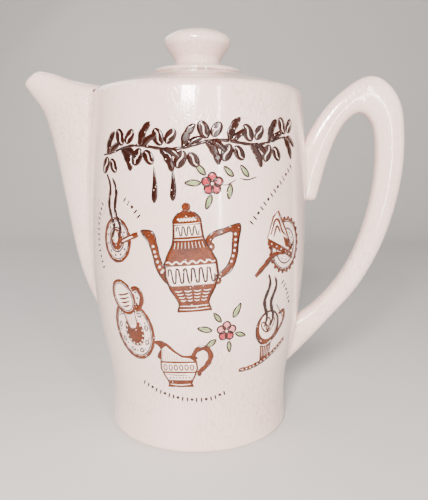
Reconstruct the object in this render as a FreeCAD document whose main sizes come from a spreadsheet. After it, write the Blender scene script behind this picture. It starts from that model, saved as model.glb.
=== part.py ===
import FreeCAD, Part
import math
import os

import Sketcher
from FreeCAD import Placement, Rotation, Vector

# A straight-sided earthenware coffee pot with a lift-off lid.
# Frame: millimetres, +Z up, origin on the table under the middle of the pot.
# The spout points along -X, the handle along +X, the printed front faces -Y.
#
# The pot is slip-cast in separate pieces: the barrel, the spout and the handle,
# joined with slip, and a lid with a knob that is set on afterwards.

doc = FreeCAD.newDocument("coffee_pot")
sheet = doc.addObject("Spreadsheet::Sheet", "Dims")

BARREL = {
    "waist_radius": 54.7, "waist_height": 18, "belly_radius": 65.9, "belly_height": 118,
    "flare_share": 0.292, "shoulder_radius": 62.2, "shoulder_height": 203.2,
    "shoulder_round": 5, "mouth_radius": 50, "mouth_height": 207.4, "mouth_round": 1.2,
    "wall": 5, "floor_top": 10.5, "floor_round": 8, "foot_inner": 46.5, "foot_recess": 4.5,
    "foot_round": 3, "foot_inner_round": 1.5, "ledge_height": 203.4, "throat_radius": 44,
    "throat_bottom": 198.5, "under_shoulder_height": 194.5,
    "hole_radius": 2, "hole_step": 10, "hole_gap": 6, "hole_row_height": 150,
    "low_hole_height": 121, "hole_depth": 75,
}
LID = {
    "rim_radius": 49.2, "rim_top": 206.7, "rim_round": 0.8, "dome_curve": 138,
    "step_radius": 26, "step_foot": 213.4, "step_top": 215.8, "step_round": 0.8,
    "seat_radius": 13.4, "seat_height": 219.6, "neck_radius": 14.6, "neck_height": 223.4,
    "neck_curve": 8, "collar_radius": 43.2, "collar_wall": 4.5,
    "collar_bottom": 193, "collar_round": 1.5, "under_dome_edge": 203, "under_dome_top": 213.4,
    "under_dome_flat": 9, "knob_corner": 21.1, "knob_corner_height": 232,
    "knob_edge_round": 4.2, "knob_top_curve": 13, "knob_top_radius": 12.6,
    "knob_top_height": 238.2, "groove_radius": 11.6, "groove_height": 237.5,
    "overall_height": 240,
}
GRIP_AND_SPOUT = {
    "spout_wall": 4, "spout_lip_round": 1.1, "grip_thickness": 13.5,
    "grip_squareness": 2.5, "grip_tail_round": 3.5, "slip_clearance": 0.8,
}
PRINT = {"print_gap": 0.03, "print_thickness": 0.2, "print_low": 34, "print_high": 190}

# Stations along the spout, from the lip down to its pointed foot on the wall:
# the front edge (x, z), the back edge (x, z) and the half width across.
SPOUT_STATIONS = (
    ("lip", -104.0, 208.0, -93.3, 215.8, 7.4),
    ("neck", -99.0, 200.6, -82.5, 213.4, 9.6),
    ("throat", -94.2, 193.6, -71.0, 209.7, 13.5),
    ("bend", -90.4, 183.0, -51.0, 204.6, 18.5),
    ("upper", -87.0, 168.5, -45.0, 181.0, 17.5),
    ("middle", -83.2, 147.0, -47.0, 150.0, 13.2),
    ("lower", -79.8, 127.0, -51.0, 127.0, 10.6),
    ("tail", -75.2, 102.0, -54.0, 102.0, 7.6),
    ("foot", -68.6, 82.0, -57.0, 82.0, 4.2),
    ("point", -61.5, 68.0, -58.5, 68.0, 1.4),
)
# The channel stops above the foot: these are its stations and how far it rises past the lip.
CHANNEL_STATIONS = ("lip", "neck", "throat", "bend", "upper", "middle", "lower", "tail")
CHANNEL_OVERRUN = 0.35
# Above the shoulder the channel has a roof, and towards the lip its wall is thinner.
ROOFED_STATIONS = ("lip", "neck", "throat", "bend")
LIP_STATIONS = ("lip", "neck")
LIP_THINNING = 0.7
SPOUT_NOSE_TAPER = 0.18
SPOUT_ROOF_SQUARENESS = 3.2

# Stations along the handle, from the tail on the upper wall round to the lower root:
# the outside edge (x, z) and the inside edge (x, z).
GRIP_STATIONS = (
    ("tail", 56.0, 140.5, 72.6, 138.2),
    ("wrist", 58.0, 157.0, 75.8, 151.5),
    ("elbow", 64.2, 173.5, 80.2, 167.0),
    ("rise", 74.2, 191.0, 86.0, 181.0),
    ("shoulder", 88.5, 206.0, 92.4, 189.0),
    ("crown", 104.5, 213.4, 98.8, 191.3),
    ("turn", 119.2, 203.4, 105.0, 186.0),
    ("back", 125.2, 182.0, 108.1, 174.0),
    ("side", 125.6, 160.0, 108.5, 158.0),
    ("bow", 121.6, 134.5, 106.2, 138.5),
    ("sweep", 113.4, 109.0, 99.6, 114.0),
    ("fall", 99.5, 83.6, 89.2, 92.6),
    ("run", 84.2, 65.4, 76.2, 76.6),
    ("root", 68.4, 47.6, 62.4, 66.2),
    ("seat", 54.0, 33.0, 48.0, 62.0),
)

# Prints on the wall: distance along the wall from the front line (positive towards the handle),
# height, half width and half height of the oval that each one covers.
PRINTS = (
    ("print_coffee_pot", -4, 113, 25.5, 29.5),
    ("print_steaming_cup", -46, 131, 12.5, 25),
    ("print_cake_plate", 54, 118, 21, 18),
    ("print_cup_and_saucer", -40, 73, 17.5, 21),
    ("print_cream_jug", -8.5, 53, 14.5, 15),
    ("print_footed_cup", 45, 71.5, 15.5, 27),
    ("print_flower_upper", 16, 151.5, 18.5, 8.5),
    ("print_flower_lower", 15.5, 75, 12, 12),
)
GARLAND_LOW = 161
GARLAND_HIGH = 188
GARLAND_HALF_ANGLE = 54


def fill_sheet(groups):
    """Write every driving dimension as a plain number in a cell with an alias."""
    row = 1
    for group in groups:
        for alias, value in group.items():
            sheet.set(f"A{row}", alias)
            sheet.set(f"B{row}", str(value))
            sheet.setAlias(f"B{row}", alias)
            row += 1


def station_cells(prefix, stations, fields):
    """Name the numbers of a row of stations, such as grip_crown_out_x."""
    cells = {}
    for name, *numbers in stations:
        for field, number in zip(fields, numbers):
            cells[f"{prefix}_{name}_{field}"] = number
    return cells


EDGE_FIELDS = ("out_x", "out_z", "in_x", "in_z", "half_width")
PRINT_FIELDS = ("along", "height", "half_width", "half_height")
fill_sheet((
    BARREL, LID, GRIP_AND_SPOUT, PRINT,
    station_cells("spout", SPOUT_STATIONS, EDGE_FIELDS),
    station_cells("grip", GRIP_STATIONS, EDGE_FIELDS),
    station_cells("oval", PRINTS, PRINT_FIELDS),
    {"garland_low": GARLAND_LOW, "garland_high": GARLAND_HIGH, "garland_half_angle": GARLAND_HALF_ANGLE},
))
doc.recompute()


def size(alias):
    """One driving dimension, read from the sheet."""
    return float(sheet.get(alias))


def cells(text):
    """Turn words such as [wall] into spreadsheet references."""
    return text.replace("[", "Dims.").replace("]", "")


def worked_out(expression):
    """The number that an expression of sheet cells gives."""
    return float(sheet.evalExpression(expression))


def origin_plane(body, role):
    """The body's own origin plane with this role."""
    for feature in body.Origin.OriginFeatures:
        if feature.Role == role:
            return feature
    raise ValueError(role)


def new_sketch(body, name, role):
    """An empty sketch attached to one of the body's origin planes."""
    sketch = body.newObject("Sketcher::SketchObject", name)
    sketch.AttachmentSupport = [(origin_plane(body, role), "")]
    sketch.MapMode = "FlatFace"
    return sketch


def bulge_point(start, end, radius, side):
    """The middle of an arc from start to end; side +1 bulges to the left of travel."""
    chord = end - start
    half = chord.Length / 2
    rise = radius - math.sqrt(radius * radius - half * half)
    across = Vector(-chord.y, chord.x, 0).normalize()
    return (start + end) * 0.5 + across * (rise * side)


def edge_ends(curve):
    """Which end of a sketched edge the outline enters by and leaves by.

    The sketcher stores every arc anticlockwise, so one that bulges left is entered by its end.
    """
    if curve is not None and curve[1] > 0:
        return 2, 1
    return 1, 2


def bind_corner(sketch, index, entry, across, up):
    """Fix the corner where an edge begins at sheet-driven distances from the origin."""
    for kind, expression, axis in (("DistanceX", across, -2), ("DistanceY", up, -1)):
        if expression == "0":
            sketch.addConstraint(Sketcher.Constraint("PointOnObject", index, entry, axis))
            continue
        value = worked_out(expression)
        at = sketch.addConstraint(Sketcher.Constraint(kind, -1, 1, index, entry, value))
        name = f"{kind}_{index}"
        sketch.renameConstraint(at, name)
        sketch.setExpression(f"Constraints.{name}", expression)


def draw_outline(sketch, steps):
    """Close an outline whose corners are steps of (across, up, curve).

    curve is None for a straight edge to the next corner, or (radius, side) for an arc.
    """
    steps = [(cells(across), cells(up), curve) for across, up, curve in steps]
    corners = [Vector(worked_out(across), worked_out(up), 0) for across, up, curve in steps]
    for index, (across, up, curve) in enumerate(steps):
        start = corners[index]
        end = corners[(index + 1) % len(corners)]
        if curve is None:
            sketch.addGeometry(Part.LineSegment(start, end), False)
        else:
            radius = worked_out(cells(curve[0]))
            sketch.addGeometry(Part.Arc(start, bulge_point(start, end, radius, curve[1]), end), False)
    for index, (across, up, curve) in enumerate(steps):
        following = (index + 1) % len(steps)
        entry, leave = edge_ends(curve)
        next_entry = edge_ends(steps[following][2])[0]
        sketch.addConstraint(Sketcher.Constraint("Coincident", index, leave, following, next_entry))
    for index, (across, up, curve) in enumerate(steps):
        bind_corner(sketch, index, edge_ends(curve)[0], across, up)
        if curve is not None:
            radius = cells(curve[0])
            at = sketch.addConstraint(Sketcher.Constraint("Radius", index, worked_out(radius)))
            sketch.renameConstraint(at, f"Radius_{index}")
            sketch.setExpression(f"Constraints.Radius_{index}", radius)


def turned_body(name, steps, angle="360"):
    """A body turned about the Z axis from an outline in the XZ plane."""
    body = doc.addObject("PartDesign::Body", name)
    body.Label = name
    sketch = new_sketch(body, f"{name}_outline", "XZ_Plane")
    draw_outline(sketch, steps)
    turning = body.newObject("PartDesign::Revolution", f"{name}_turned")
    turning.Profile = sketch
    turning.ReferenceAxis = (sketch, ["V_Axis"])
    turning.setExpression("Angle", cells(angle))
    turning.Midplane = True
    doc.recompute()
    return body


def ring_edges(shape, radius, height):
    """Names of the circular edges of this radius at this height."""
    near = 0.01
    names = []
    for number, edge in enumerate(shape.Edges, 1):
        if edge.Degenerated:
            continue
        curve = edge.Curve
        if isinstance(curve, Part.Circle) and abs(curve.Radius - radius) < near:
            if abs(curve.Center.z - height) < near:
                names.append(f"Edge{number}")
    return names


def round_rings(body, name, rings, radius_alias):
    """Fillet the circular edges at these (radius, height) pairs by a sheet size."""
    base = body.Tip
    names = []
    for radius, height in rings:
        names += ring_edges(base.Shape, radius, height)
    if not names:
        raise ValueError(f"no edge to round for {name}")
    fillet = body.newObject("PartDesign::Fillet", name)
    fillet.Base = (base, names)
    fillet.setExpression("Radius", cells(f"[{radius_alias}]"))
    doc.recompute()


# The barrel's side is an S of two arcs that meet on the chord from waist to belly,
# and above the belly one long arc leans in to the shoulder.
FLARE_RADIUS = "([waist_radius] + [flare_share] * ([belly_radius] - [waist_radius]))"
FLARE_HEIGHT = "([waist_height] + [flare_share] * ([belly_height] - [waist_height]))"
SIDE_CURVE = ("((([belly_radius] - [waist_radius]) ^ 2 + ([belly_height] - [waist_height]) ^ 2)"
              " / (2 * ([belly_radius] - [waist_radius])))")
WAIST_CURVE = f"([flare_share] * {SIDE_CURVE})"
BELLY_CURVE = f"((1 - [flare_share]) * {SIDE_CURVE})"


def upper_curve(top_radius, top_height):
    """Radius of the arc that is upright at the belly and passes a point above it."""
    inset = f"([belly_radius] - {top_radius})"
    rise = f"({top_height} - [belly_height])"
    return f"(({inset} ^ 2 + {rise} ^ 2) / (2 * {inset}))"


def waist_offset(height):
    """How far the waist arc stands out at a height, beyond its narrowest radius."""
    return f"({WAIST_CURVE} - sqrt({WAIST_CURVE} ^ 2 - ([waist_height] - {height}) ^ 2))"


def make_pot_body():
    """The barrel: a hollow turned wall with a foot ring, a lid ledge and strainer holes."""
    under_radius = "([shoulder_radius] - [wall])"
    under_height = "[under_shoulder_height]"
    body = turned_body("pot_body", [
        ("0", "[foot_recess]", None),
        ("[foot_inner]", "[foot_recess]", None),
        ("[foot_inner]", "0", None),
        (f"[waist_radius] + {waist_offset('0')}", "0", (WAIST_CURVE, 1)),
        (FLARE_RADIUS, FLARE_HEIGHT, (BELLY_CURVE, -1)),
        ("[belly_radius]", "[belly_height]",
         (upper_curve("[shoulder_radius]", "[shoulder_height]"), -1)),
        ("[shoulder_radius]", "[shoulder_height]", None),
        ("[mouth_radius]", "[mouth_height]", None),
        ("[mouth_radius]", "[ledge_height]", None),
        ("[throat_radius]", "[ledge_height]", None),
        ("[throat_radius]", "[throat_bottom]", None),
        (under_radius, under_height,
         (f"({upper_curve('[shoulder_radius]', under_height)})", 1)),
        ("[belly_radius] - [wall]", "[belly_height]", (BELLY_CURVE, 1)),
        (f"{FLARE_RADIUS} - [wall]", FLARE_HEIGHT, (WAIST_CURVE, -1)),
        (f"[waist_radius] - [wall] + {waist_offset('[floor_top]')}", "[floor_top]", None),
        ("0", "[floor_top]", None),
    ])
    foot_radius = worked_out(cells(f"[waist_radius] + {waist_offset('0')}"))
    floor_radius = worked_out(cells(f"[waist_radius] - [wall] + {waist_offset('[floor_top]')}"))
    shoulder = (size("shoulder_radius"), size("shoulder_height"))
    foot_inner = size("foot_inner")
    round_rings(body, "shoulder_rounding", [shoulder], "shoulder_round")
    round_rings(body, "foot_rounding", [(foot_radius, 0)], "foot_round")
    round_rings(body, "floor_rounding", [(floor_radius, size("floor_top"))], "floor_round")
    rings = [(foot_inner, 0), (foot_inner, size("foot_recess"))]
    round_rings(body, "foot_inner_rounding", rings, "foot_inner_round")
    rings = [(size("mouth_radius"), size("mouth_height")), (size("throat_radius"), size("ledge_height"))]
    round_rings(body, "mouth_rounding", rings, "mouth_round")
    drill_strainer(body)
    return body


def drill_strainer(body):
    """Rows of small round holes through the wall behind the spout."""
    three = [f"{count} * [hole_gap]" for count in (-1, 0, 1)]
    two = [f"{count} * [hole_gap] / 2" for count in (-1, 1)]
    drill_rows(body, "holes_by_three", three, "[hole_row_height]", 4)
    drill_rows(body, "holes_by_two", two, "[hole_row_height] + [hole_step] / 2", 3)
    drill_rows(body, "holes_below", ["0"], "[low_hole_height]", 3)


def drill_rows(body, name, places, height, count):
    """One row of holes cut towards the spout, repeated upwards."""
    before = body.Shape.Volume
    sketch = new_sketch(body, f"{name}_sketch", "YZ_Plane")
    for index, place in enumerate(places):
        centre = Vector(worked_out(cells(place)), worked_out(cells(height)), 0)
        sketch.addGeometry(Part.Circle(centre, Vector(0, 0, 1), size("hole_radius")), False)
        for kind, expression in (("DistanceX", place), ("DistanceY", height)):
            if expression == "0":
                sketch.addConstraint(Sketcher.Constraint("PointOnObject", index, 3, -2))
                continue
            value = worked_out(cells(expression))
            at = sketch.addConstraint(Sketcher.Constraint(kind, -1, 1, index, 3, value))
            sketch.renameConstraint(at, f"{kind}_{index}")
            sketch.setExpression(f"Constraints.{kind}_{index}", cells(expression))
        at = sketch.addConstraint(Sketcher.Constraint("Radius", index, size("hole_radius")))
        sketch.renameConstraint(at, f"Radius_{index}")
        sketch.setExpression(f"Constraints.Radius_{index}", cells("[hole_radius]"))
    pocket = body.newObject("PartDesign::Pocket", name)
    pocket.Profile = sketch
    pocket.Type = "Length"
    pocket.setExpression("Length", cells("[hole_depth]"))
    doc.recompute()
    if body.Shape.Volume > before - 1:
        raise ValueError(f"{name} cuts nothing")
    rows = body.newObject("PartDesign::LinearPattern", f"{name}_repeated")
    rows.Originals = [pocket]
    rows.Direction = (sketch, ["V_Axis"])
    rows.setExpression("Length", cells(f"{count - 1} * [hole_step]"))
    rows.Occurrences = count
    body.Tip = rows
    doc.recompute()


def make_barrel_form():
    """The barrel's outer form as a full solid, used to seat the spout and the handle on it."""
    lid_room = "([mouth_radius] + [slip_clearance])"
    return turned_body("barrel_form", [
        ("0", "0", None),
        (f"[waist_radius] + {waist_offset('0')}", "0", (WAIST_CURVE, 1)),
        (FLARE_RADIUS, FLARE_HEIGHT, (BELLY_CURVE, -1)),
        ("[belly_radius]", "[belly_height]",
         (upper_curve("[shoulder_radius]", "[shoulder_height]"), -1)),
        ("[shoulder_radius]", "[shoulder_height]", None),
        (lid_room, "[mouth_height]", None),
        (lid_room, "[overall_height]", None),
        ("0", "[overall_height]", None),
    ])


def oval_section(outer, inner, half_width, taper, power, inner_power):
    """A closed smooth curve from an outer edge to an inner edge.

    taper narrows the outer end, and a power above 2 squares that half of the section up. Every
    section has the same number of points and the same knots, so a skin can be drawn over a row.
    """
    count = 16
    middle = (outer + inner) * 0.5
    reach = (outer - inner) * 0.5
    points = []
    for step in range(count):
        turn = 2 * math.pi * step / count
        square = power if math.cos(turn) >= 0 else inner_power
        along = math.copysign(abs(math.cos(turn)) ** (2 / square), math.cos(turn))
        across = math.copysign(abs(math.sin(turn)) ** (2 / square), math.sin(turn))
        width = half_width * across * (1 - taper * along)
        points.append(middle + reach * along + Vector(0, width, 0))
    curve = Part.BSplineCurve()
    curve.interpolate(points, PeriodicFlag=True, Parameters=list(range(count + 1)))
    return curve


def skinned_solid(sections):
    """A closed solid whose skin passes smoothly through a row of closed sections."""
    stations_at = [0.0]
    for before, after in zip(sections, sections[1:]):
        gap = (before.value(0) + before.value(8) - after.value(0) - after.value(8)).Length / 2
        stations_at.append(stations_at[-1] + gap)
    rails = []
    for poles in zip(*[section.getPoles() for section in sections]):
        rail = Part.BSplineCurve()
        rail.interpolate(list(poles), Parameters=stations_at)
        rails.append(rail)
    first = sections[0]
    grid = [list(row) for row in zip(*[rail.getPoles() for rail in rails])]
    skin = Part.BSplineSurface()
    skin.buildFromPolesMultsKnots(
        grid, rails[0].getMultiplicities(), first.getMultiplicities(),
        rails[0].getKnots(), first.getKnots(), False, True, rails[0].Degree, first.Degree)
    ends = [Part.Face(Part.Wire([section.toShape()])) for section in (sections[0], sections[-1])]
    shell = Part.makeShell([skin.toShape()] + ends)
    shell.sewShape()
    solid = Part.Solid(shell)
    if solid.Volume < 0:
        solid.reverse()
    return solid


def station(prefix, name):
    """The outer and inner edge points of a station."""
    outer = Vector(size(f"{prefix}_{name}_out_x"), 0, size(f"{prefix}_{name}_out_z"))
    inner = Vector(size(f"{prefix}_{name}_in_x"), 0, size(f"{prefix}_{name}_in_z"))
    return outer, inner


def feature(name, shape):
    """A named object that holds a shape made here."""
    thing = doc.addObject("Part::Feature", name)
    thing.Label = name
    thing.Shape = shape
    thing.Placement = Placement(Vector(0, 0, 0), Rotation())
    return thing


def spout_form():
    """The spout's outer skin down its stations, as a full solid."""
    sections = []
    for name, *numbers in SPOUT_STATIONS:
        outer, inner = station("spout", name)
        half_width = size(f"spout_{name}_half_width")
        sections.append(beak_section(name, outer, inner, half_width))
    return skinned_solid(sections)


def beak_section(name, outer, inner, half_width):
    """A section of the spout: a rounded nose in front and, behind the lip, a flat back."""
    back = 2.0 if name == "lip" else SPOUT_ROOF_SQUARENESS
    return oval_section(outer, inner, half_width, SPOUT_NOSE_TAPER, 2.0, back)


def spout_channel():
    """The way that coffee takes: the skin's stations, one wall further in."""
    sections = []
    for name in CHANNEL_STATIONS:
        outer, inner = station("spout", name)
        thin = LIP_THINNING if name in LIP_STATIONS else 1
        wall = size("spout_wall") * thin
        inward = (inner - outer).normalize() * wall
        if name in ROOFED_STATIONS:
            inner = inner - inward
        half_width = size(f"spout_{name}_half_width") - wall
        sections.append(beak_section(name, outer + inward, inner, half_width))
    onward = sections[0].value(0) + sections[0].value(8) - sections[1].value(0) - sections[1].value(8)
    mouth = sections[0].copy()
    mouth.translate(onward * 0.5 * CHANNEL_OVERRUN)
    return skinned_solid([mouth] + sections)


def make_spout(form):
    """The spout: a hollow beak, open at the lip and along its back where it meets the wall."""
    shape = spout_form().cut(spout_channel()).cut(form.Shape)
    return feature("spout", round_lip(largest_solid(shape)))


def round_lip(shape):
    """Soften the rim of the pouring lip."""
    outer, inner = station("spout", "lip")
    across = (outer - inner).normalize()
    square = Vector(-across.z, 0, across.x)
    middle = (outer + inner) * 0.5
    near = 0.05
    rim = []
    for edge in shape.Edges:
        heights = [abs((point - middle).dot(square)) for point in edge.discretize(9)]
        if max(heights) < near:
            rim.append(edge)
    return shape.makeFillet(size("spout_lip_round"), rim)


def largest_solid(shape):
    """The biggest solid of a shape, without loose crumbs from the cut."""
    return max(shape.Solids, key=lambda solid: solid.Volume)


def make_handle(form):
    """The handle: a solid rounded strap that is cut to sit on the barrel's wall."""
    half_width = size("grip_thickness") / 2
    sections = []
    for name, *numbers in GRIP_STATIONS:
        outer, inner = station("grip", name)
        square = size("grip_squareness")
        sections.append(oval_section(outer, inner, half_width, 0, square, square))
    strap = skinned_solid(sections)
    tail = sections[0].value(0)
    ends = [edge for edge in strap.Edges if edge.distToShape(Part.Vertex(tail))[0] < 0.01
            and edge.isClosed()]
    strap = strap.makeFillet(size("grip_tail_round"), ends)
    return feature("handle", largest_solid(strap.cut(form.Shape)))


def make_lid():
    """The lid: a shallow dome with a raised step, and a collar that drops into the throat."""
    collar_inner = "([collar_radius] - [collar_wall])"
    body = turned_body("lid", [
        ("0", "[under_dome_top]", None),
        ("[under_dome_flat]", "[under_dome_top]", ("[dome_curve]", 1)),
        (collar_inner, "[under_dome_edge]", None),
        (collar_inner, "[collar_bottom]", None),
        ("[collar_radius]", "[collar_bottom]", None),
        ("[collar_radius]", "[ledge_height]", None),
        ("[rim_radius]", "[ledge_height]", None),
        ("[rim_radius]", "[rim_top]", ("[dome_curve]", -1)),
        ("[step_radius]", "[step_foot]", None),
        ("[step_radius]", "[step_top]", None),
        ("[seat_radius]", "[seat_height]", None),
        ("0", "[seat_height]", None),
    ])
    rings = [(size("rim_radius"), size("rim_top"))]
    round_rings(body, "rim_rounding", rings, "rim_round")
    rings = [(size("step_radius"), size("step_top"))]
    round_rings(body, "step_rounding", rings, "step_round")
    collar_inner_radius = worked_out(cells(collar_inner))
    rings = [(size("collar_radius"), size("collar_bottom")), (collar_inner_radius, size("collar_bottom"))]
    round_rings(body, "collar_rounding", rings, "collar_round")
    return body


def make_lid_knob():
    """The knob: a flared button with a turned groove round its low domed cap."""
    cap_radius = "([groove_radius] - 0.6)"
    cap_foot = "([groove_height] + 0.7)"
    cap_rise = f"([overall_height] - {cap_foot})"
    cap_curve = f"(({cap_radius} ^ 2 + {cap_rise} ^ 2) / (2 * {cap_rise}))"
    body = turned_body("lid_knob", [
        ("0", "[seat_height]", None),
        ("[seat_radius]", "[seat_height]", ("[neck_curve]", 1)),
        ("[neck_radius]", "[neck_height]", None),
        ("[knob_corner]", "[knob_corner_height]", ("[knob_top_curve]", -1)),
        ("[knob_top_radius]", "[knob_top_height]", None),
        ("[groove_radius]", "[groove_height]", None),
        (cap_radius, cap_foot, (cap_curve, -1)),
        ("0", "[overall_height]", None),
    ])
    rings = [(size("knob_corner"), size("knob_corner_height"))]
    round_rings(body, "knob_edge_rounding", rings, "knob_edge_round")
    return body


def make_print_shell():
    """A thin skin just off the wall, from which every print is cut."""
    def outline(offset):
        low, high = "[print_low]", "[print_high]"
        waist = f"({waist_offset(low)} + [waist_radius] + {offset})"
        top_curve = upper_curve("[shoulder_radius]", "[shoulder_height]")
        top_drop = f"({top_curve} - sqrt({top_curve} ^ 2 - ({high} - [belly_height]) ^ 2))"
        return waist, f"([belly_radius] - {top_drop} + {offset})", low, high, top_curve
    near_low, near_high, low, high, top_curve = outline("[print_gap]")
    thick = "([print_gap] + [print_thickness])"
    far_low, far_high = outline(thick)[:2]
    return turned_body("print_shell", [
        (near_low, low, None),
        (far_low, low, (WAIST_CURVE, 1)),
        (f"{FLARE_RADIUS} + {thick}", FLARE_HEIGHT, (BELLY_CURVE, -1)),
        (f"[belly_radius] + {thick}", "[belly_height]", (top_curve, -1)),
        (far_high, high, None),
        (near_high, high, (top_curve, 1)),
        ("[belly_radius] + [print_gap]", "[belly_height]", (BELLY_CURVE, 1)),
        (f"{FLARE_RADIUS} + [print_gap]", FLARE_HEIGHT, (WAIST_CURVE, -1)),
    ])


def facing(angle, height):
    """A placement that aims local Z straight out of the wall, with local Y upright."""
    out = Rotation(Vector(0, 0, 1), angle)
    return Placement(Vector(0, 0, height), out * Rotation(Vector(1, 0, 0), 90))


def make_print(shell, name):
    """One print: the oval of thin skin that its picture covers."""
    along, height, half_width, half_height = (size(f"oval_{name}_{field}") for field in PRINT_FIELDS)
    start = Vector(0, 0, size("waist_radius") / 2)
    if half_width > half_height:
        ellipse = Part.Ellipse(start, half_width, half_height)
    else:
        ellipse = Part.Ellipse(Vector(0, half_height, start.z), Vector(half_width, 0, start.z), start)
    face = Part.Face(Part.Wire([ellipse.toShape()]))
    beam = face.extrude(Vector(0, 0, size("belly_radius")))
    angle = math.degrees(along / size("belly_radius"))
    beam.Placement = facing(angle, height)
    return feature(name, largest_solid(shell.Shape.common(beam)))


def make_garland(shell):
    """The heading band: a strip of thin skin that wraps round the front below the shoulder."""
    half_angle = size("garland_half_angle")
    reach = size("belly_radius") * 2
    tall = size("garland_high") - size("garland_low")
    wedge = Part.makeCylinder(reach, tall, Vector(0, 0, size("garland_low")), Vector(0, 0, 1), 2 * half_angle)
    wedge.rotate(Vector(0, 0, 0), Vector(0, 0, 1), -90 - half_angle)
    return feature("print_garland", largest_solid(shell.Shape.common(wedge)))


def check(things):
    """Stop if any object failed or any piece has no valid solid."""
    for thing in doc.Objects:
        if "Invalid" in thing.State or "Error" in thing.State:
            raise ValueError(f"{thing.Name} failed: {thing.State}")
    for thing in things:
        shape = thing.Shape
        if shape.isNull() or not shape.isValid() or len(shape.Solids) != 1:
            raise ValueError(f"{thing.Label} has no single valid solid")


def main():
    form = make_barrel_form()
    shell = make_print_shell()
    pieces = [make_pot_body(), make_spout(form), make_handle(form), make_lid(), make_lid_knob()]
    pieces.append(make_garland(shell))
    for name, *numbers in PRINTS:
        pieces.append(make_print(shell, name))
    doc.recompute()
    check(pieces)
    os.makedirs("parts", exist_ok=True)
    for piece in pieces:
        box = piece.Shape.BoundBox
        print(f"{piece.Label}: {piece.Shape.Volume / 1000:.1f} cm3, "
              f"x {box.XMin:.1f} to {box.XMax:.1f}, z {box.ZMin:.1f} to {box.ZMax:.1f}")
        piece.Shape.exportStep(f"parts/{piece.Label}.step")


main()
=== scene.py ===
# %% [markdown]
# # A printed earthenware coffee pot
#
# The solid model of the pot arrives as a fixed frame: every piece is already in its place, in
# metres, with the origin under the middle of the foot ring. The barrel, spout, handle, lid and
# knob keep their shapes here, and this file gives them what a solid model can't: the glaze with
# its fine crackle, the soft seams where slip joined the pieces, and the fired prints on the wall.

# %% Load the frame
import math
import random

import bmesh
import bpy
from mathutils import Matrix, Vector
from mathutils.bvhtree import BVHTree
from mathutils.geometry import tessellate_polygon


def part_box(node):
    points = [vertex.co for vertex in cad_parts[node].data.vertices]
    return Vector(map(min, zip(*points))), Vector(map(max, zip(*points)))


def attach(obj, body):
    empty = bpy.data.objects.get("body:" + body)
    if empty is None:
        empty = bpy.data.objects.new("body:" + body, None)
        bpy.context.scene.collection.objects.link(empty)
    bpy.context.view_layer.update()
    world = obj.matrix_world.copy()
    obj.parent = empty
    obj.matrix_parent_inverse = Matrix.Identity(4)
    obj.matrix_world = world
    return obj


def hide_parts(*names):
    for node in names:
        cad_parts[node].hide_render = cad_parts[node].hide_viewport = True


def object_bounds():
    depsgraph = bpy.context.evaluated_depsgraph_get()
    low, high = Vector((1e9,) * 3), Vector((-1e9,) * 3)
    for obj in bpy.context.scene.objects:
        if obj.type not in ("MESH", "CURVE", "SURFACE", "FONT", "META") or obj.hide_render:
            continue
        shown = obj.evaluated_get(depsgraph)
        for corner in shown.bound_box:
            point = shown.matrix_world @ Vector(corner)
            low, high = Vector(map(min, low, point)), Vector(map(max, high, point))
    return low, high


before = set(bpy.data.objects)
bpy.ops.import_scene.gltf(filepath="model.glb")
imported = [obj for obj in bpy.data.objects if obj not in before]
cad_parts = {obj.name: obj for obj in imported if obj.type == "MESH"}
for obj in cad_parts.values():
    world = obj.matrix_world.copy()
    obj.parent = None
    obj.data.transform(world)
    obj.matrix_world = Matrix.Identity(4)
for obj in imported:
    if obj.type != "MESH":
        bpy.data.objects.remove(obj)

cad_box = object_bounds()
print("box", [round(value, 4) for corner in cad_box for value in corner])

# %% Sizes that the rest of the file works from
MM = 0.001
POT = "pot"
pot_low, pot_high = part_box("pot_body")
BELLY_RADIUS = (pot_high.x - pot_low.x) / 2
POT_HEIGHT = cad_box[1][2]
print("belly radius", round(BELLY_RADIUS, 4), "height", round(POT_HEIGHT, 4))

# %% [markdown]
# ## Shader helpers
#
# A node tree written by hand soon drowns in link calls. Two small helpers keep it short: one adds
# a node and sets its inputs, the other makes a group with named inputs and outputs. Effects that
# several glazes share, such as crackle, iron specks and staining, are groups. Each group gives
# out only a mask, and the Principled shader stays in the material, where an exporter can read it.

# %% Node helpers
def add_node(tree, kind, settings=None, inputs=None):
    """Add a shader node, set its properties and fill or link its inputs."""
    node = tree.nodes.new(kind)
    for name, value in (settings or {}).items():
        setattr(node, name, value)
    for name, value in (inputs or {}).items():
        socket = node.inputs[name]
        if isinstance(value, bpy.types.NodeSocket):
            tree.links.new(value, socket)
        else:
            socket.default_value = value
    return node


def new_group(name, inputs, outputs):
    """A shader node group with float or vector inputs and float outputs."""
    tree = bpy.data.node_groups.new(name, "ShaderNodeTree")
    for socket_name, kind, default in inputs:
        socket = tree.interface.new_socket(socket_name, in_out="INPUT", socket_type=kind)
        if default is not None:
            socket.default_value = default
    for socket_name in outputs:
        tree.interface.new_socket(socket_name, in_out="OUTPUT", socket_type="NodeSocketFloat")
    return tree, tree.nodes.new("NodeGroupInput"), tree.nodes.new("NodeGroupOutput")


def ramp(tree, value, low, high):
    """Stretch a value so that low becomes 0 and high becomes 1, clamped."""
    node = add_node(tree, "ShaderNodeMapRange", {"clamp": True}, {
        "Value": value, "From Min": low, "From Max": high})
    return node.outputs["Result"]


def maths(tree, operation, first, second=0.0):
    """One arithmetic step."""
    node = add_node(tree, "ShaderNodeMath", {"operation": operation}, {0: first, 1: second})
    return node.outputs["Value"]


def tint(tree, amount, below, above):
    """Mix two colours by a mask."""
    node = tree.nodes.new("ShaderNodeMix")
    node.data_type = "RGBA"
    for index, value in ((0, amount), (6, below), (7, above)):
        if isinstance(value, bpy.types.NodeSocket):
            tree.links.new(value, node.inputs[index])
        else:
            node.inputs[index].default_value = value
    return node.outputs[2]


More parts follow.
